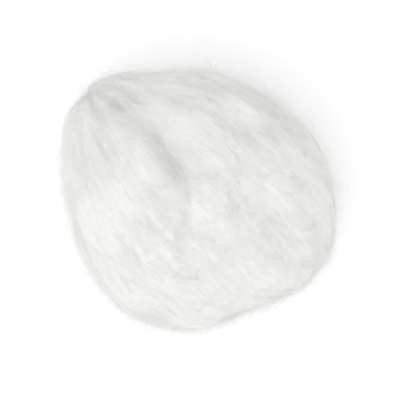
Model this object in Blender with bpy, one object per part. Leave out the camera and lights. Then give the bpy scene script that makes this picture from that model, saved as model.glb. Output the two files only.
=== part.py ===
"""Cotton ball: a tuft of bleached cotton web, rolled up loosely with its two ends gathered in.

Metres, +Z up. The roll lies on its side. Its near end, a gathered neck, points up and to the left in a
plan with +Y up the page. The free edge of the web runs from that end over the top, veers off to the left
and sinks into the web halfway along. The origin is on the small flat patch that the soft ball rests on,
below the middle of its outline.
"""

import math

import bmesh
import bpy
from mathutils import Vector

UP = Vector((0, 0, 1))

# The roll.
ROLL_LENGTH = 0.0302  # from one gathered end to the other, without the neck
ROLL_WIDTH = 0.0296  # level diameter at the middle of the length
ROLL_HEIGHT = 0.0298  # upright diameter there, before the ball settles
ROLL_HEADING = math.radians(138)  # of the near end, in plan, from +X
ROLL_LIFT = math.radians(12)  # of the near end above the level
END_FULLNESS = 0.88  # below 1 the ends are blunter than an ellipsoid's

# The web's outer turn and its free edge. Turn angles go round the roll's axis, from its top.
TURN_THICKNESS = 0.0008  # what the outer turn stands above the one below it
EDGE_TURN = math.radians(-8)  # of the line that the free edge follows, at the middle of the length
EDGE_SLANT = math.radians(-34)  # how far that line drifts round the roll over its length
EDGE_SWAY = math.radians(5)  # how far it swings to either side on the way
EDGE_VEER = math.radians(38)  # how far the edge turns off that line
EDGE_VEER_PLACE = 0.62  # share of the way to the far end where it is furthest off the line
EDGE_VEER_REACH = 0.215  # share of the way that it is at least half as far off the line
EDGE_VEER_SPAN = 2.0  # radians of the web about the edge that are at least half drawn along with it
EDGE_END = 0.50  # share of the way where the edge has half sunk into the web
EDGE_END_REACH = 0.08  # share of the way over which it sinks
EDGE_SOFTNESS = 0.0008  # width over which the face turns down at the edge
EDGE_FALL = 0.0020  # length over which it falls most of the way to the turn below
EDGE_RIM = 0.0005  # height of the fuller rim just behind the edge
EDGE_RIM_WIDTH = 0.0020

# The two gathered ends.
NECK_LENGTH = 0.0038  # how far the near end is drawn out
NECK_WIDTH = 0.0110
DIMPLE_DEPTH = 0.0012
DIMPLE_WIDTH = 0.0032
PLEAT_DEPTH = 0.0009
PLEAT_REACH = 0.0080  # from the end's middle, over the surface, to where the pleats have half faded
PLEAT_CLEARING = 0.0054  # width of the middle that the pleats run out in
PLEAT_SWIRL = math.radians(30)  # that the pleats turn about the end over their reach
PLEAT_ROUNDNESS = 1.3  # below 2 the pleats are rounder and the valleys narrower
PLEAT_UNEVENNESS = 0.25  # how far, in radians, the pleats crowd on one side and spread on the other
NEAR_PLEATS = 11
FAR_PLEATS = 9

# Soft ribs of web: height, count round the roll, drift in radians from end to end, and start.
RIBS = (
    (0.00020, 13, 1.5, 0.0),
    (0.00016, 7, -5.0, 1.0),
    (0.00014, 9, 7.0, 2.0),
)
RIB_BEND = 0.8  # radians by which the ribs wander

# Soft swellings and hollows: heading and lift from the middle, height, width.
SWELLINGS = (
    (math.radians(-26), math.radians(8), 0.0016, 0.015),
    (math.radians(-64), math.radians(0), -0.0016, 0.013),
    (math.radians(-118), math.radians(8), 0.0006, 0.014),
    (math.radians(-152), math.radians(0), -0.0007, 0.012),
    (math.radians(98), math.radians(-5), -0.0004, 0.014),
    (math.radians(50), math.radians(35), -0.0005, 0.015),
    (math.radians(200), math.radians(45), 0.0004, 0.012),
)

# Short folds in the web: heading and lift of the middle, the way each runs, depth, width, length.
FOLDS = (
    (math.radians(-14), math.radians(50), math.radians(120), 0.0003, 0.0026, 0.012),
    (math.radians(-110), math.radians(30), math.radians(75), 0.0006, 0.0020, 0.011),
    (math.radians(60), math.radians(18), math.radians(35), 0.0006, 0.0022, 0.012),
    (math.radians(-172), math.radians(2), math.radians(75), 0.0006, 0.0022, 0.012),
)
FOLD_BOW = 0.016  # radius to which each fold bows

# Where it rests.
REST_SINK = 0.0019  # how far the underside would reach below the floor if it were stiff
REST_SOFTNESS = 0.0012  # height over which the underside flattens out
REST_CUT = 0.15  # share of that height where the flat patch begins
REST_WIDTH = 0.0170  # of the underside that lies smooth

# The surface's facets.
COLUMNS = 132
RINGS = 40
CROWDING = 0.45  # of the columns towards the free edge

COTTON_COLOUR = (0.88, 0.88, 0.86, 1.0)
COTTON_ROUGHNESS = 0.95


def clear_scene():
    for obj in list(bpy.data.objects):
        bpy.data.objects.remove(obj)


def direction(heading, lift):
    """The unit vector that points along a heading in plan and a lift above the level."""
    level = math.cos(lift)
    return Vector((level * math.cos(heading), level * math.sin(heading), math.sin(lift)))


def roll_axes():
    """The roll's axis towards its near end, the way up square to it, and the way to its side."""
    axis = direction(ROLL_HEADING, ROLL_LIFT)
    upward = (UP - axis * axis.z).normalized()
    return axis, upward, axis.cross(upward)


def bump(distance, width):
    """A smooth bump, 1 at its middle, that is as wide as stated at half its height."""
    return 0.5 ** ((2 * distance / width) ** 2)


def over_surface(outward, other):
    """The way over the ball's surface, roughly, between two unit directions from its middle."""
    return outward.angle(other) * ROLL_WIDTH / 2


def step(value, place, reach):
    """A smooth step from 0 to 1, halfway up at a place."""
    return 0.5 + 0.5 * math.tanh((value - place) / reach)


def edge_line(polar):
    """The turn angle of the line that the free edge follows, this polar angle from the near end."""
    along = polar / math.pi
    return EDGE_TURN + EDGE_SLANT * (along - 0.5) + EDGE_SWAY * math.sin(2 * math.pi * along)


def edge_veer(turn, polar):
    """How far the free edge, and less so the web about it, turns off that line."""
    off = bump(polar / math.pi - EDGE_VEER_PLACE, EDGE_VEER_REACH)
    return EDGE_VEER * off * bump(turn, EDGE_VEER_SPAN)


def edge_strength(polar):
    """How much of the free edge shows: little past the middle, and none at the ends themselves."""
    return math.sin(polar) * (1 - step(polar / math.pi, EDGE_END, EDGE_END_REACH))


def past_edge(turn, polar):
    """How far a point is past the free edge, over the surface: negative on the upper turn."""
    return turn * ROLL_WIDTH / 2 * math.sin(polar)


def crowded(turn):
    """The turn angle of a column, drawn towards the free edge at 0."""
    return turn - CROWDING * math.sin(turn)


def edge_fall(past):
    """The share of the outer turn's height that is left: all behind the free edge, and less past it."""
    beyond = (past + math.hypot(past, EDGE_SOFTNESS)) / 2
    return math.exp(-beyond / EDGE_FALL)


def turn_height(turn, polar):
    """How far the spiral of the web stands off the roll's mean surface."""
    past = past_edge(turn, polar)
    spiral = turn / (2 * math.pi) + edge_fall(past) - 0.5
    rim = EDGE_RIM * bump(past + EDGE_RIM_WIDTH / 2, EDGE_RIM_WIDTH)
    return edge_strength(polar) * (TURN_THICKNESS * spiral + rim)


def pleat_height(angle, from_end, count):
    """Rounded pleats with narrow valleys, which fan out from a gathered end and swirl about it."""
    swirled = angle + PLEAT_SWIRL * from_end / PLEAT_REACH
    uneven = swirled + PLEAT_UNEVENNESS * math.sin(2 * swirled + count)
    lobe = abs(math.sin(count * uneven / 2)) ** PLEAT_ROUNDNESS
    faded = bump(from_end, 2 * PLEAT_REACH) * (1 - bump(from_end, PLEAT_CLEARING))
    return PLEAT_DEPTH * faded * (lobe - 0.5)


def rib_height(angle, polar):
    """The soft ribs of web, strongest at the middle of the roll's length."""
    bend = RIB_BEND * math.sin(2 * polar + angle)
    waves = sum(
        height * math.sin(count * angle + drift * polar + start + bend)
        for height, count, drift, start in RIBS
    )
    return waves * math.sin(polar)


def swelling_height(outward):
    """The soft swellings and hollows, for a unit direction from the middle."""
    return sum(
        height * bump(over_surface(outward, direction(heading, lift)), width)
        for heading, lift, height, width in SWELLINGS
    )


def fold_depth(outward):
    """The depth of the short folds, for a unit direction from the middle."""
    total = 0.0
    for heading, lift, run, depth, width, length in FOLDS:
        middle = direction(heading, lift)
        east = UP.cross(middle).normalized()
        way = east * math.cos(run) + middle.cross(east) * math.sin(run)
        offset = (outward - middle) * ROLL_WIDTH / 2
        along = offset.dot(way)
        beside = offset.dot(middle.cross(way)) + along ** 2 / (2 * FOLD_BOW)
        total += depth * bump(offset.length, length) * bump(beside, width)
    return total


def relief(turn, angle, polar, outward):
    """How far a point stands off the plain roll. The underside lies smooth."""
    from_near = polar * ROLL_WIDTH / 2
    from_far = (math.pi - polar) * ROLL_WIDTH / 2
    height = turn_height(turn, polar) + rib_height(angle, polar)
    height += pleat_height(angle, from_near, NEAR_PLEATS) + pleat_height(angle, from_far, FAR_PLEATS)
    height += swelling_height(outward) - fold_depth(outward)
    return height * (1 - bump(over_surface(outward, -UP), REST_WIDTH))


def reach(polar):
    """How far along the axis the plain roll's surface lies, drawn out into a neck at the near end."""
    from_near = polar * ROLL_WIDTH / 2
    from_far = (math.pi - polar) * ROLL_WIDTH / 2
    blunt = math.copysign(abs(math.cos(polar)) ** END_FULLNESS, math.cos(polar))
    neck = NECK_LENGTH * bump(from_near, NECK_WIDTH)
    dimples = DIMPLE_DEPTH * (bump(from_far, DIMPLE_WIDTH) - bump(from_near, DIMPLE_WIDTH))
    return ROLL_LENGTH / 2 * blunt + neck + dimples


def roll_point(turn, polar):
    """A point of the ball before it settles, by its turn angle past the free edge and polar angle."""
    axis, upward, sideways = roll_axes()
    angle = turn + edge_line(polar) - edge_veer(turn, polar)
    around = upward * math.cos(angle) + sideways * math.sin(angle)
    girth = upward * (ROLL_HEIGHT * math.cos(angle)) + sideways * (ROLL_WIDTH * math.sin(angle))
    outward = axis * math.cos(polar) + around * math.sin(polar)
    plain = axis * reach(polar) + girth * (math.sin(polar) / 2)
    return plain + outward * relief(turn, angle, polar, outward)


def settled(height):
    """The height of a point above the floor once the soft underside has flattened."""
    if height >= REST_SOFTNESS:
        return height
    return REST_SOFTNESS * math.exp(height / REST_SOFTNESS - 1)


def rolled_web():
    """The closed surface of the roll, as a UV sphere whose points are moved to the roll's."""
    surface = bmesh.new()
    bmesh.ops.create_uvsphere(surface, u_segments=COLUMNS, v_segments=RINGS, radius=1)
    for vert in surface.verts:
        polar = math.acos(max(-1.0, min(1.0, vert.co.z)))
        turn = crowded(math.atan2(vert.co.y, vert.co.x))
        vert.co = roll_point(turn, polar)
    return surface


def split_facets(surface):
    """Splits each four-sided facet the shorter way, which follows the free edge."""
    facets = [face for face in surface.faces if len(face.verts) == 4]
    bmesh.ops.triangulate(surface, faces=facets, quad_method="SHORT_EDGE")


def outline_middle(surface):
    """The middle of the surface's box in plan."""
    middle = Vector((0, 0, 0))
    for axis in (0, 1):
        places = [vert.co[axis] for vert in surface.verts]
        middle[axis] = (min(places) + max(places)) / 2
    return middle


def settle(surface):
    """Lets the ball down on the floor, flattens its underside and centres its outline on the origin."""
    lowest = min(vert.co.z for vert in surface.verts)
    for vert in surface.verts:
        vert.co.z = settled(vert.co.z - lowest - REST_SINK)
    floor = UP * (REST_CUT * REST_SOFTNESS)
    everything = surface.verts[:] + surface.edges[:] + surface.faces[:]
    bmesh.ops.bisect_plane(surface, geom=everything, plane_co=floor, plane_no=UP, clear_inner=True)
    rim = [edge for edge in surface.edges if edge.is_boundary]
    bmesh.ops.contextual_create(surface, geom=rim)
    bmesh.ops.translate(surface, vec=-outline_middle(surface) - floor, verts=surface.verts)
    bmesh.ops.recalc_face_normals(surface, faces=surface.faces)


def cotton_material():
    material = bpy.data.materials.new("cotton")
    material.use_nodes = True
    shader = material.node_tree.nodes["Principled BSDF"]
    shader.inputs["Base Color"].default_value = COTTON_COLOUR
    shader.inputs["Roughness"].default_value = COTTON_ROUGHNESS
    shader.inputs["Metallic"].default_value = 0.0
    return material


def add_cotton_ball():
    surface = rolled_web()
    split_facets(surface)
    settle(surface)
    mesh = bpy.data.meshes.new("cotton_ball")
    surface.to_mesh(mesh)
    surface.free()
    mesh.shade_smooth()
    mesh.materials.append(cotton_material())
    ball = bpy.data.objects.new("cotton_ball", mesh)
    bpy.context.scene.collection.objects.link(ball)
    return ball


clear_scene()
add_cotton_ball()
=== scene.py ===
"""Cotton ball: the look of the web, its loose fibres, the studio and the camera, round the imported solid.

Metres, +Z up. The solid gives the form: gathered ends, the web's free edge and the flat patch below. Here
its skin gets the fine strands of the web, fibres lie along those strands in locks, and loose ones stand
off it as fuzz. Turn angles go round the roll's axis and polar angles run from its near end.
"""

import math

import bpy
import numpy as np
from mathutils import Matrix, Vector, noise
from mathutils.bvhtree import BVHTree


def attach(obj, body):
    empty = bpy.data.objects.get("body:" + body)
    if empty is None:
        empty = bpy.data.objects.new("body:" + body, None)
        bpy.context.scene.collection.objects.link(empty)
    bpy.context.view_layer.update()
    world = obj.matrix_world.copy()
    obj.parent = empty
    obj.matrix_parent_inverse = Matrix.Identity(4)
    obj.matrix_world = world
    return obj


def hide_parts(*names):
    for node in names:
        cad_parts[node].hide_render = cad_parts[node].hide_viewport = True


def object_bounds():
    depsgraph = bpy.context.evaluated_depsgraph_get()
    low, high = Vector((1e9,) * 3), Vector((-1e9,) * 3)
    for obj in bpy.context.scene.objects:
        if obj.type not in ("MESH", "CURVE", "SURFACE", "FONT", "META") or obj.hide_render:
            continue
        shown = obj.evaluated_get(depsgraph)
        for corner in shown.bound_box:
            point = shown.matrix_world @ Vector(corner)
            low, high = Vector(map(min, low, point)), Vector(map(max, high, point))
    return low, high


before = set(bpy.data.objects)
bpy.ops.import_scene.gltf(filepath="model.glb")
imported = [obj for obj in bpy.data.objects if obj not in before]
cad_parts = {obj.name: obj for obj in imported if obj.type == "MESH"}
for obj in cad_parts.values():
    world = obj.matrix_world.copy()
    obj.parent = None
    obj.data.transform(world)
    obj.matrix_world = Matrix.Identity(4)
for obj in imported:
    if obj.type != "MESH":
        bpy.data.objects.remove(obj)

NODE = "cotton_ball"
BODY = "root"

SOLID_LOW, SOLID_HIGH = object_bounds()
CENTRE = (SOLID_LOW + SOLID_HIGH) / 2
MIDDLE = np.array(CENTRE)
RADIUS = (SOLID_HIGH.x - SOLID_LOW.x) / 2

# The roll.
ROLL_HEADING = math.radians(138)  # of its near end, in plan, from +X
ROLL_LIFT = math.radians(12)  # of its near end above the level

# How the strands of web wander round the roll: angle, waves round it, drift along it, start.
WANDERS = ((0.07, 1, 2.0, 0.4), (0.03, 2, 4.0, 1.9), (0.015, 5, 7.0, 4.0))
WANDER_STEPS = 6  # in which a strand is found from a point on it
SMALL_ANGLE = 0.01  # over which the way along a line is taken
SHORTEST = 1e-12  # that a vector is taken to be, where its way is read

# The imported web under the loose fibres.
SKIN_VOXEL = 0.00026
SKIN_SMOOTHING = 6  # rounds
SKIN_DEPTH = 0.00030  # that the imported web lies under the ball's face
# Soft lumps of the ball's face, which have no grain: height and size of each kind.
LUMPS = ((0.00034, 0.0080), (0.00012, 0.0028))
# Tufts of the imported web, with creases between them: height, width and length of each kind.
TUFTS = ((0.00030, 0.0030, 0.010), (0.00024, 0.0013, 0.006), (0.00014, 0.0006, 0.0030))

# Fine streaks that the imported web's material shows along the strands, with shade painted into the
# grooves between them.
STREAK_MARKS = "strands"
STREAK_WIDTH = 0.00030
STREAK_LENGTH = 0.0040
STREAK_DEPTH = 0.00012
STREAK_DETAIL = 5
STREAK_DISTORTION = 0.7
# Painted shade: the web's colour is darkened where the streaks' bump is low, in the grooves between
# strands.
STREAK_GROOVE_SHADE = (0.90, 0.90, 0.895, 1)  # by which the darkest streaks dim the colour

# Fibres, which are closed tubes.
SIDES = 3
TUCK = 0.00030  # how deep a fibre's ends go under the face
ARCH = 0.6  # below 1 a lying fibre's ends go under more abruptly
TAPER = 0.4  # below 1 a fibre keeps its width nearer to its ends
SIDE_GUIDE = 0.3  # of the roll's axis, in the way that a tube's first side faces
MAP_NAME = "OFBake"
CELL_MARGIN = 0.1  # share of its cell on the texture map that a fibre leaves free
FLOOR_CLEARANCE = 0.00003  # of the lowest fibres
PRESSED_HEIGHT = 0.0015  # above the floor, up to which the ball's own weight flattens its lumps

# Fibres that lie in the web, in locks.
LYING_WIDTH = 0.000022
LYING_POINTS = 9
LYING_LENGTH = (0.005, 0.011)
LOCKS = 300
LOCK_FIBRES = 9
LOCK_SPREAD = 0.00080  # of a lock's fibres, to either side
LOCK_STAGGER = 0.0016  # of a lock's fibres, along it
LOCK_SLANT = math.radians(24)
LOCK_LIFT = 0.00016  # that a lock stands higher, on average; a few stand well off the face
FIBRE_SLANT = math.radians(20)
STRAY_SHARE = 0.35  # fibres that cross the others at any slant
CRIMP = 0.00022  # sideways waves in a fibre
CRIMP_SPREAD = 0.4  # share by which the waves of a lock's fibres differ
CRIMP_SLIP = 0.5  # radians by which they are out of step
CRIMP_LENGTH = (0.0030, 0.0060)
LYING_DEPTH = 0.00025  # under the face, of the deepest fibres' middles
LYING_LIFT = 0.00026  # over those, of most fibres; a few stand higher

# Fibres along the web's free edge, which runs from the near end over the top and then veers off.
EDGE_TURN = math.radians(-8)  # of the line that the edge follows, at the middle of the roll
EDGE_SLANT = math.radians(-34)  # how far that line drifts round the roll over its length
EDGE_SWAY = math.radians(5)  # how far it swings to either side on the way
EDGE_VEER = math.radians(38)  # how far the edge turns off that line
EDGE_VEER_PLACE = 0.62  # share of the way to the far end where it is furthest off the line
EDGE_VEER_REACH = 0.215  # share of the way that it is at least half as far off the line
EDGE_ENDS = (0.35, 1.6)  # polar angles that its fibres' middles lie between
EDGE_FIBRES = 150
EDGE_SPREAD = 0.00080  # how far behind the edge they lie, and as far again about that
EDGE_LEAN = 1.0  # that a fibre swings across the edge, as a share of how far it lies beside it
EDGE_LIFT = 0.00030  # off the face, within which most of them lie

# Wisps, which are tufts of fibres that have come a little off the face at one end.
WISPS = 130
WISP_FIBRES = 16
WISP_POINTS = 8
WISP_WIDTH = 0.000022
WISP_LENGTH = (0.003, 0.008)
WISP_SLANT = math.radians(35)
WISP_SPREAD = 0.00050  # to either side, at the root; it is wider at the free end
WISP_FAN = 2.0  # that a wisp is wider at its free end, as a share of its width at the root
WISP_LIFT = (0.0003, 0.0012)  # of the free end
WISP_CURVE = 2  # power by which a wisp lifts off faster towards its free end

# Loose fibres over the face: down lies close to it, fluff a little higher, and fuzz stands off it.
DOWN = {"count": 6400, "spans": (0.0015, 0.0050), "heights": (0.0, 0.0008), "width": 0.000021}
FLUFF = {"count": 6400, "spans": (0.0012, 0.0040), "heights": (0.0002, 0.0015), "width": 0.000022}
FUZZ = {"count": 5400, "spans": (0.0010, 0.0045), "heights": (0.0004, 0.0026), "width": 0.000023}
LOOSE_POINTS = 6
LOOSE_CURL = 0.00040  # how far a fibre swings to a side, towards its far end
LOOSE_WAVES = (0.5, 1.8)  # that it would swing in over a whole arch
LOOSE_SHARE = 0.45  # the least share of its arch that a fibre runs; the others reach further down
LOOSE_ARCH = 0.8  # below 1 a fibre leaves the face more steeply
LOW_FIBRES = 1.8  # above 1 more fibres stand low than high

# Cotton.
WEB_COLOURS = ((0.91, 0.91, 0.89, 1), (0.95, 0.95, 0.935, 1))
WEB_PATCH = 0.006
FIBRE_COLOURS = ((0.982, 0.982, 0.966, 1), (1, 1, 0.988, 1))
FIBRE_PATCH = 0.0012
RAMP_SPAN = (0.3, 0.7)  # the noise values that a colour ramp runs between
ROUGHNESS = 0.95
SPECULAR = 0.2
SHEEN = 0.25
SHEEN_ROUGHNESS = 0.5
SUBSURFACE = 0.5
SUBSURFACE_DEPTH = 0.0006
SUBSURFACE_REACH = (1.0, 0.95, 0.85)  # of red, green and blue light, as shares of that depth

# The studio.
FLOOR_SIZE = 4.0
FLOOR_COLOUR = (0.95, 0.95, 0.95, 1)
FLOOR_GLOW = 0.12  # on top of the floor's own light, for a white ground
WORLD_LIGHT = 0.90  # strength of the white surroundings, as they light the ball
GROUND_RAYS = ("Is Camera Ray", "Is Glossy Ray", "Is Transmission Ray")  # which see the plain white ground
KEY_LIGHT = 0.69  # watts
KEY_SIZE = 0.34
KEY_PLACE = Vector((-0.10, -0.20, 0.51))

# The camera.
CAMERA_LENS = 245  # millimetres
CAMERA_ELEVATION = math.radians(86)
CAMERA_DISTANCE = 0.315

SEED = 11


def unit(vectors):
    return vectors / np.maximum(np.linalg.norm(vectors, axis=-1, keepdims=True), SHORTEST)


def direction(heading, lift):
    """The unit vector along a heading in plan and a lift above the level."""
    level = math.cos(lift)
    return np.array((level * math.cos(heading), level * math.sin(heading), math.sin(lift)))


AXIS = direction(ROLL_HEADING, ROLL_LIFT)
UPWARD = unit(np.array((0, 0, 1)) - AXIS * AXIS[2])
SIDEWAYS = np.cross(AXIS, UPWARD)


def way_out(turn, polar):
    """Unit vectors from the ball's middle, for arrays of turn angles and polar angles."""
    around = np.cos(turn)[..., None] * UPWARD + np.sin(turn)[..., None] * SIDEWAYS
    return np.cos(polar)[..., None] * AXIS + np.sin(polar)[..., None] * around


def turn_and_polar(ways):
    """The turn and polar angles of unit vectors from the ball's middle."""
    polar = np.arccos(np.clip(ways @ AXIS, -1, 1))
    return np.arctan2(ways @ SIDEWAYS, ways @ UPWARD), polar


def wander(strand, polar):
    """How far round the roll a strand has wandered at a polar angle."""
    return sum(
        angle * np.sin(around * strand + along * polar + start)
        for angle, around, along, start in WANDERS
    )


def strand_turn(strand, polar):
    """The turn angle of a strand at a polar angle."""
    return strand + wander(strand, polar)


def strand_at(turn, polar):
    """The strand that passes through a point: the turn angle that it would have with no wander."""
    strand = turn
    for _ in range(WANDER_STEPS):
        strand = turn - wander(strand, polar)
    return strand


def bump(distance, width):
    """A smooth bump, 1 at its middle, that is as wide as stated at half its height."""
    return 0.5 ** ((2 * distance / width) ** 2)


def edge_turn(polar):
    """The turn angle of the web's free edge at a polar angle."""
    along = polar / math.pi
    line = EDGE_TURN + EDGE_SLANT * (along - 0.5) + EDGE_SWAY * np.sin(2 * math.pi * along)
    return line - EDGE_VEER * bump(along - EDGE_VEER_PLACE, EDGE_VEER_REACH)


def noise_values(points):
    return np.array([noise.noise(Vector(point)) for point in points])


def plain_mesh(obj):
    """A new mesh of an object as its modifiers leave it."""
    graph = bpy.context.evaluated_depsgraph_get()
    return bpy.data.meshes.new_from_object(obj.evaluated_get(graph))


def vertex_places(mesh):
    places = np.empty(len(mesh.vertices) * 3)
    mesh.vertices.foreach_get("co", places)
    return places.reshape(-1, 3)


def vertex_normals(mesh):
    normals = np.empty(len(mesh.vertices) * 3)
    mesh.vertex_normals.foreach_get("vector", normals)
    return normals.reshape(-1, 3)


def even_skin():
    """The solid's skin in small even facets, with its own facets smoothed away."""
    draft = bpy.data.objects.new("skin_draft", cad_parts[NODE].data.copy())
    bpy.context.scene.collection.objects.link(draft)
    remesh = draft.modifiers.new("remesh", "REMESH")
    remesh.mode = "VOXEL"
    remesh.voxel_size = SKIN_VOXEL
    smooth = draft.modifiers.new("smooth", "SMOOTH")
    smooth.iterations = SKIN_SMOOTHING
    mesh = plain_mesh(draft)
    bpy.data.objects.remove(draft)
    return mesh


def strand_places(places, width, length):
    """Places for a noise that is drawn out along the strands, for points of the ball."""
    turn, polar = turn_and_polar(unit(places - MIDDLE))
    strand = strand_at(turn, polar)
    across = RADIUS / width
    return np.stack((across * np.cos(strand), across * np.sin(strand), RADIUS * polar / length), axis=1)


def lump_height(places):
    """How far each point of the ball's face is raised by soft lumps."""
    return sum(rise * noise_values(places / size) for rise, size in LUMPS)


def tuft_height(places):
    """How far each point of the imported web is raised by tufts, which meet in creases."""
    return sum(
        rise * np.abs(noise_values(strand_places(places, width, length)))
        for rise, width, length in TUFTS
    )


def raise_points(mesh, heights):
    """Moves a mesh's points out by heights, less near the floor and never below it."""
    places = vertex_places(mesh)
    freedom = np.clip((places[:, 2] - SOLID_LOW.z) / PRESSED_HEIGHT, 0, 1)
    places += vertex_normals(mesh) * (heights * freedom)[:, None]
    mesh.vertices.foreach_set("co", places.ravel())
    mesh.update()


def ball_face():
    """The ball's face, lumps and all, which the loose fibres lie about."""
    mesh = even_skin()
    raise_points(mesh, lump_height(vertex_places(mesh)))
    return mesh


def tree_of(mesh):
    return BVHTree.FromPolygons(
        [vert.co for vert in mesh.vertices], [face.vertices for face in mesh.polygons]
    )


def mark_strands(mesh):
    """Keeps on each point its place along and across the strands, for the material to follow."""
    marks = mesh.attributes.new(STREAK_MARKS, "FLOAT_VECTOR", "POINT")
    places = strand_places(vertex_places(mesh), STREAK_WIDTH, STREAK_LENGTH)
    marks.data.foreach_set("vector", places.ravel())


def add_piece(name, mesh, material):
    mesh.shade_smooth()
    mesh.materials.clear()
    mesh.materials.append(material)
    piece = bpy.data.objects.new(name, mesh)
    bpy.context.scene.collection.objects.link(piece)
    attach(piece, BODY)
    return piece


def add_web(mesh, material):
    """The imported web, a little under the ball's face."""
    raise_points(mesh, tuft_height(vertex_places(mesh)) - SKIN_DEPTH)
    mark_strands(mesh)
    web = add_piece("cotton_web", mesh, material)
    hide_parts(NODE)


def face_distance(tree, ways):
    """How far out the ball's face lies from its middle, each way."""
    found = [tree.ray_cast(CENTRE, Vector(way))[3] for way in ways.reshape(-1, 3)]
    return np.array(found).reshape(ways.shape[:-1])


def random_between(random, limits, shape):
    return random.uniform(limits[0], limits[1], shape)


def random_spots(random, count):
    """Strands and polar angles spread evenly over the ball."""
    return random.uniform(-math.pi, math.pi, count), np.arccos(random.uniform(-1, 1, count))


def line_ways(turn_of, polar):
    """The ways out to points on lines over the ball, and the ways on along those lines."""
    ways = way_out(turn_of(polar), polar)
    ahead = way_out(turn_of(polar + SMALL_ANGLE), polar + SMALL_ANGLE)
    return ways, unit(ahead - ways * (ahead * ways).sum(axis=1, keepdims=True))


def slanted(ways, onward, slant):
    """The ways on, turned about the ways out."""
    return onward * np.cos(slant)[:, None] + np.cross(ways, onward) * np.sin(slant)[:, None]


def paths_over(tree, ways, onward, along, beside, heights):
    """Paths over the face from points of it, by how far on, to the side and off it each point lies."""
    sideways = np.cross(ways, onward)
    starts = MIDDLE + ways * face_distance(tree, ways)[:, None]
    level = starts[:, None] + onward[:, None] * along[..., None] + sideways[:, None] * beside[..., None]
    out = unit(level - MIDDLE)
    return MIDDLE + out * (face_distance(tree, out) + heights)[..., None]


def arched(share, lift):
    """Heights of lying fibres, whose ends, at shares of -0.5 and 0.5, are tucked in under the face."""
    arch = np.cos(math.pi * share) ** ARCH
    return lift * arch - TUCK * (1 - arch)


def in_locks(values):
    """A value for each fibre, from a value for each lock."""
    return np.repeat(values, LOCK_FIBRES)


def waves(random, along):
    """The sideways waves of fibres, much the same for all fibres of a lock."""
    count = len(along)
    length = in_locks(random_between(random, CRIMP_LENGTH, LOCKS))
    start = in_locks(random.uniform(0, 2 * math.pi, LOCKS)) + random.normal(0, CRIMP_SLIP, count)
    crimp = CRIMP * random.normal(1, CRIMP_SPREAD, count)
    return crimp[:, None] * np.sin(2 * math.pi * along / length[:, None] + start[:, None])


def lying_paths(random, tree):
    """Paths of fibres that lie in locks along the web's strands, with a few strays across them."""
    count = LOCKS * LOCK_FIBRES
    strand, polar = random_spots(random, LOCKS)
    ways, onward = line_ways(lambda place: strand_turn(strand, place), polar)
    ways, onward = (np.repeat(part, LOCK_FIBRES, axis=0) for part in (ways, onward))
    slant = in_locks(random.normal(0, LOCK_SLANT, LOCKS)) + random.normal(0, FIBRE_SLANT, count)
    stray = random.random(count) < STRAY_SHARE
    slant = np.where(stray, random.uniform(-math.pi, math.pi, count), slant)
    share = np.linspace(-0.5, 0.5, LYING_POINTS)
    length = random_between(random, LYING_LENGTH, (count, 1))
    along = share * length
    beside = random.normal(0, LOCK_SPREAD, (count, 1)) + waves(random, along)
    ahead = random.normal(0, LOCK_STAGGER, (count, 1))
    lift = np.abs(random.normal(0, LYING_LIFT, count)) - LYING_DEPTH
    lift += in_locks(random.exponential(LOCK_LIFT, LOCKS))
    heights = arched(share, lift[:, None])
    return paths_over(tree, ways, slanted(ways, onward, slant), along + ahead, beside, heights)


def edge_paths(random, tree):
    """Paths of the fibres that run along the crest of the web's free edge."""
    column = (EDGE_FIBRES, 1)
    ways, onward = line_ways(edge_turn, random_between(random, EDGE_ENDS, EDGE_FIBRES))
    share = np.linspace(-0.5, 0.5, LYING_POINTS)
    along = share * random_between(random, LYING_LENGTH, column)
    lean = 1 + 2 * share * random.normal(0, EDGE_LEAN, column)
    wave = CRIMP * np.sin(2 * math.pi * (share + random.random(column)))
    beside = random.normal(-EDGE_SPREAD, EDGE_SPREAD, column) * lean + wave
    heights = arched(share, np.abs(random.normal(0, EDGE_LIFT, column)))
    return paths_over(tree, ways, onward, along, beside, heights)


def wisp_paths(random, tree):
    """Paths of fibres in wisps, which fan out and lift off the face towards their free ends."""
    column = (WISPS * WISP_FIBRES, 1)
    strand, polar = random_spots(random, WISPS)
    ways, onward = line_ways(lambda place: strand_turn(strand, place), polar)
    onward = slanted(ways, onward, random.normal(0, WISP_SLANT, WISPS))
    onward *= random.choice((-1, 1), (WISPS, 1))
    length = np.repeat(random_between(random, WISP_LENGTH, (WISPS, 1)), WISP_FIBRES, axis=0)
    lift = np.repeat(random_between(random, WISP_LIFT, (WISPS, 1)), WISP_FIBRES, axis=0)
    share = np.linspace(0, 1, WISP_POINTS) * random.uniform(LOOSE_SHARE, 1, column)
    beside = WISP_SPREAD * random.normal(0, 1, column) * (1 + WISP_FAN * share)
    turns = random_between(random, LOOSE_WAVES, column)
    start = random.uniform(0, 2 * math.pi, column)
    beside += LOOSE_CURL * share * np.sin(2 * math.pi * turns * share + start)
    heights = lift * share ** WISP_CURVE * random.uniform(0, 1, column) - TUCK * (1 - share)
    ways, onward = (np.repeat(part, WISP_FIBRES, axis=0) for part in (ways, onward))
    return paths_over(tree, ways, onward, length * share, beside, heights)


def loose_paths(random, tree, count, spans, heights):
    """Paths of fibres that leave the web, curl above it, and end in the air or back in it."""
    column = (count, 1)
    ways = way_out(*random_spots(random, count))
    onward = unit(np.cross(ways, random.normal(0, 1, (count, 3))))
    share = np.linspace(0, 1, LOOSE_POINTS) * random.uniform(LOOSE_SHARE, 1, column)
    turns = random_between(random, LOOSE_WAVES, column)
    start = random.uniform(0, 2 * math.pi, column)
    curl = LOOSE_CURL * share * np.sin(2 * math.pi * turns * share + start)
    height = heights[0] + (heights[1] - heights[0]) * random.random(column) ** LOW_FIBRES
    rise = height * np.sin(math.pi * share) ** LOOSE_ARCH - TUCK
    return paths_over(tree, ways, onward, random_between(random, spans, column) * share, curl, rise)


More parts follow.
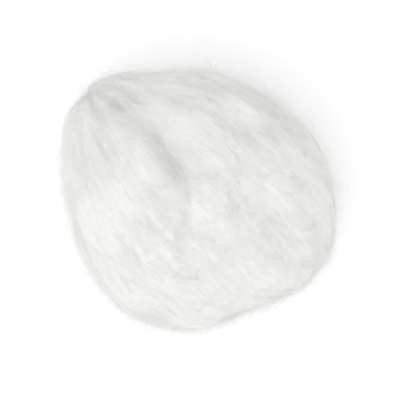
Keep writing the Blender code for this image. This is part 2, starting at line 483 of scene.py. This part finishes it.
def tube_rings(paths, width):
    """Rings of points round each inner point of each path, smaller towards its ends."""
    along = unit(np.gradient(paths, axis=1))
    guide = unit(paths.mean(axis=1, keepdims=True) - MIDDLE) + SIDE_GUIDE * AXIS
    across = unit(np.cross(along, guide))
    other = np.cross(along, across)
    taper = np.sin(math.pi * np.linspace(0, 1, paths.shape[1])) ** TAPER
    spokes = 2 * math.pi * np.arange(SIDES)[:, None] / SIDES
    ring = np.cos(spokes) * across[:, :, None] + np.sin(spokes) * other[:, :, None]
    rings = paths[:, :, None] + ring * (width / 2 * taper)[:, None, None]
    return rings[:, 1:-1]


def tube_corners(rings):
    """The corners of a closed tube's triangles: the row of each along the tube and its place round it.

    The tube's two tips are its first and last rows.
    """
    corners = []
    for side in range(SIDES):
        corners += [(0, side + 0.5), (1, side + 1), (1, side)]
        corners += [(rings + 1, side + 0.5), (rings, side), (rings, side + 1)]
        for row in range(1, rings):
            corners += [(row, side), (row, side + 1), (row + 1, side + 1)]
            corners += [(row, side), (row + 1, side + 1), (row + 1, side)]
    return np.array(corners).T


def corner_points(row, place, rings):
    """Which of a tube's points each corner is at: rings first, and then the two tips."""
    point = SIDES * (row - 1) + place % SIDES
    point = np.where(row == 0, SIDES * rings, point)
    return np.where(row > rings, SIDES * rings + 1, point).astype(np.int32)


def map_tubes(mesh, row, place, rings, count):
    """Gives each tube a cell of its own on the mesh's texture map."""
    cells = math.ceil(math.sqrt(count))
    number = np.arange(count)[:, None]
    inside = (1 - CELL_MARGIN) * np.stack((place / SIDES, row / (rings + 1))) + CELL_MARGIN / 2
    across = (number % cells + inside[0]) / cells
    up = (number // cells + inside[1]) / cells
    layer = mesh.uv_layers.new(name=MAP_NAME)
    layer.uv.foreach_set("vector", np.stack((across, up), axis=2).ravel())


def tube_mesh(name, paths, width):
    """One mesh of closed tubes, one along each path."""
    count, rings = paths.shape[0], paths.shape[1] - 2
    points = tube_rings(paths, width).reshape(count, -1, 3)
    points = np.concatenate((points, paths[:, :1], paths[:, -1:]), axis=1)
    points[..., 2] = np.maximum(points[..., 2], SOLID_LOW.z + FLOOR_CLEARANCE)
    row, place = tube_corners(rings)
    first = points.shape[1] * np.arange(count, dtype=np.int32)[:, None]
    corners = corner_points(row, place, rings) + first
    mesh = bpy.data.meshes.new(name)
    mesh.vertices.add(points.shape[0] * points.shape[1])
    mesh.vertices.foreach_set("co", points.ravel())
    mesh.loops.add(corners.size)
    mesh.loops.foreach_set("vertex_index", corners.ravel())
    mesh.polygons.add(corners.size // 3)
    mesh.polygons.foreach_set("loop_start", np.arange(0, corners.size, 3, dtype=np.int32))
    mesh.update(calc_edges=True)
    map_tubes(mesh, row, place, rings, count)
    return mesh


def ramp_between(nodes, low, high):
    """A colour ramp from one colour to another over the middle of a noise's values."""
    ramp = nodes.new("ShaderNodeValToRGB")
    for element, position, colour in zip(ramp.color_ramp.elements, RAMP_SPAN, (low, high)):
        element.position = position
        element.color = colour
    return ramp


def cotton_material(name, colours, patch_size):
    """White cotton, matt with a soft sheen, and a little darker and warmer in patches."""
    material = bpy.data.materials.new(name)
    material.use_nodes = True
    nodes = material.node_tree.nodes
    links = material.node_tree.links
    shader = nodes["Principled BSDF"]
    place = nodes.new("ShaderNodeTexCoord")
    patches = nodes.new("ShaderNodeTexNoise")
    patches.inputs["Scale"].default_value = 1 / patch_size
    ramp = ramp_between(nodes, *colours)
    links.new(place.outputs["Object"], patches.inputs["Vector"])
    links.new(patches.outputs["Fac"], ramp.inputs["Fac"])
    links.new(ramp.outputs["Color"], shader.inputs["Base Color"])
    shader.inputs["Roughness"].default_value = ROUGHNESS
    shader.inputs["Specular IOR Level"].default_value = SPECULAR
    shader.inputs["Sheen Weight"].default_value = SHEEN
    shader.inputs["Sheen Roughness"].default_value = SHEEN_ROUGHNESS
    return material


def streak_noise(nodes, links):
    """A fine noise that is drawn out along the strands."""
    marks = nodes.new("ShaderNodeAttribute")
    marks.attribute_name = STREAK_MARKS
    streaks = nodes.new("ShaderNodeTexNoise")
    streaks.inputs["Scale"].default_value = 1
    streaks.inputs["Detail"].default_value = STREAK_DETAIL
    streaks.inputs["Distortion"].default_value = STREAK_DISTORTION
    links.new(marks.outputs["Vector"], streaks.inputs["Vector"])
    return streaks


def web_material():
    """Packed cotton web, with fine streaks along its strands and shade painted into their grooves, which
    lets light in under its surface.
    """
    material = cotton_material("cotton_web", WEB_COLOURS, WEB_PATCH)
    nodes = material.node_tree.nodes
    links = material.node_tree.links
    shader = nodes["Principled BSDF"]
    streaks = streak_noise(nodes, links)
    # Painted shade: darker colour where the streaks' bump is low, in the grooves between strands.
    groove_shade = ramp_between(nodes, STREAK_GROOVE_SHADE, (1, 1, 1, 1))
    links.new(streaks.outputs["Fac"], groove_shade.inputs["Fac"])
    both = nodes.new("ShaderNodeMixRGB")
    both.blend_type = "MULTIPLY"
    both.inputs["Fac"].default_value = 1
    links.new(nodes["Color Ramp"].outputs["Color"], both.inputs["Color1"])
    links.new(groove_shade.outputs["Color"], both.inputs["Color2"])
    links.new(both.outputs["Color"], shader.inputs["Base Color"])
    relief = nodes.new("ShaderNodeBump")
    relief.inputs["Distance"].default_value = STREAK_DEPTH
    links.new(streaks.outputs["Fac"], relief.inputs["Height"])
    links.new(relief.outputs["Normal"], shader.inputs["Normal"])
    shader.inputs["Subsurface Weight"].default_value = SUBSURFACE
    shader.inputs["Subsurface Scale"].default_value = SUBSURFACE_DEPTH
    shader.inputs["Subsurface Radius"].default_value = SUBSURFACE_REACH
    return material


def add_fibres(name, paths, width, material):
    add_piece(name, tube_mesh(name, paths, width), material)


def add_ball():
    random = np.random.default_rng(SEED)
    fibre = cotton_material("cotton_fibre", FIBRE_COLOURS, FIBRE_PATCH)
    face = ball_face()
    tree = tree_of(face)
    add_web(face, web_material())
    add_fibres("web_fibres", lying_paths(random, tree), LYING_WIDTH, fibre)
    add_fibres("edge_fibres", edge_paths(random, tree), LYING_WIDTH, fibre)
    add_fibres("wisps", wisp_paths(random, tree), WISP_WIDTH, fibre)
    for name, kind in (("down", DOWN), ("fluff", FLUFF), ("fuzz", FUZZ)):
        paths = loose_paths(random, tree, kind["count"], kind["spans"], kind["heights"])
        add_fibres(name, paths, kind["width"], fibre)


def ground_ray(nodes, links):
    """A value that is 1 for rays that see the white ground and 0 for those that light the ball."""
    path = nodes.new("ShaderNodeLightPath")
    total = path.outputs[GROUND_RAYS[0]]
    for kind in GROUND_RAYS[1:]:
        either = nodes.new("ShaderNodeMath")
        either.operation = "MAXIMUM"
        links.new(total, either.inputs[0])
        links.new(path.outputs[kind], either.inputs[1])
        total = either.outputs[0]
    return total


def floor_material():
    material = bpy.data.materials.new("floor")
    material.use_nodes = True
    nodes = material.node_tree.nodes
    links = material.node_tree.links
    nodes.clear()
    own = nodes.new("ShaderNodeBsdfDiffuse")
    own.inputs["Color"].default_value = FLOOR_COLOUR
    glow = nodes.new("ShaderNodeEmission")
    strength = nodes.new("ShaderNodeMath")
    strength.operation = "MULTIPLY"
    strength.inputs[1].default_value = FLOOR_GLOW
    both = nodes.new("ShaderNodeAddShader")
    out = nodes.new("ShaderNodeOutputMaterial")
    links.new(ground_ray(nodes, links), strength.inputs[0])
    links.new(strength.outputs[0], glow.inputs["Strength"])
    links.new(own.outputs[0], both.inputs[0])
    links.new(glow.outputs[0], both.inputs[1])
    links.new(both.outputs[0], out.inputs["Surface"])
    return material


def add_floor():
    half = FLOOR_SIZE / 2
    corners = [(-half, -half, 0), (half, -half, 0), (half, half, 0), (-half, half, 0)]
    mesh = bpy.data.meshes.new("floor")
    mesh.from_pydata(corners, [], [(0, 1, 2, 3)])
    mesh.materials.append(floor_material())
    floor = bpy.data.objects.new("floor", mesh)
    floor.location.z = SOLID_LOW.z
    bpy.context.scene.collection.objects.link(floor)


def add_world():
    world = bpy.data.worlds.new("studio")
    bpy.context.scene.world = world
    world.use_nodes = True
    nodes = world.node_tree.nodes
    links = world.node_tree.links
    background = nodes["Background"]
    background.inputs["Color"].default_value = (1, 1, 1, 1)
    strength = nodes.new("ShaderNodeMapRange")
    strength.inputs["To Min"].default_value = WORLD_LIGHT
    strength.inputs["To Max"].default_value = 1
    links.new(ground_ray(nodes, links), strength.inputs["Value"])
    links.new(strength.outputs["Result"], background.inputs["Strength"])


def aim(obj, target):
    obj.rotation_mode = "QUATERNION"
    obj.rotation_quaternion = (target - obj.location).to_track_quat("-Z", "Y")


def add_key_light():
    lamp = bpy.data.lights.new("key", "AREA")
    lamp.shape = "DISK"
    lamp.size = KEY_SIZE
    lamp.energy = KEY_LIGHT
    key = bpy.data.objects.new("key", lamp)
    key.location = KEY_PLACE
    aim(key, CENTRE)
    bpy.context.scene.collection.objects.link(key)


def add_camera():
    lens = bpy.data.cameras.new("camera")
    lens.lens = CAMERA_LENS
    camera = bpy.data.objects.new("camera", lens)
    back = Vector((0, -math.cos(CAMERA_ELEVATION), math.sin(CAMERA_ELEVATION)))
    camera.location = CENTRE + back * CAMERA_DISTANCE
    aim(camera, CENTRE)
    bpy.context.scene.collection.objects.link(camera)
    bpy.context.scene.camera = camera


bpy.context.scene.view_settings.view_transform = "Standard"
add_ball()
add_floor()
add_world()
add_key_light()
add_camera()
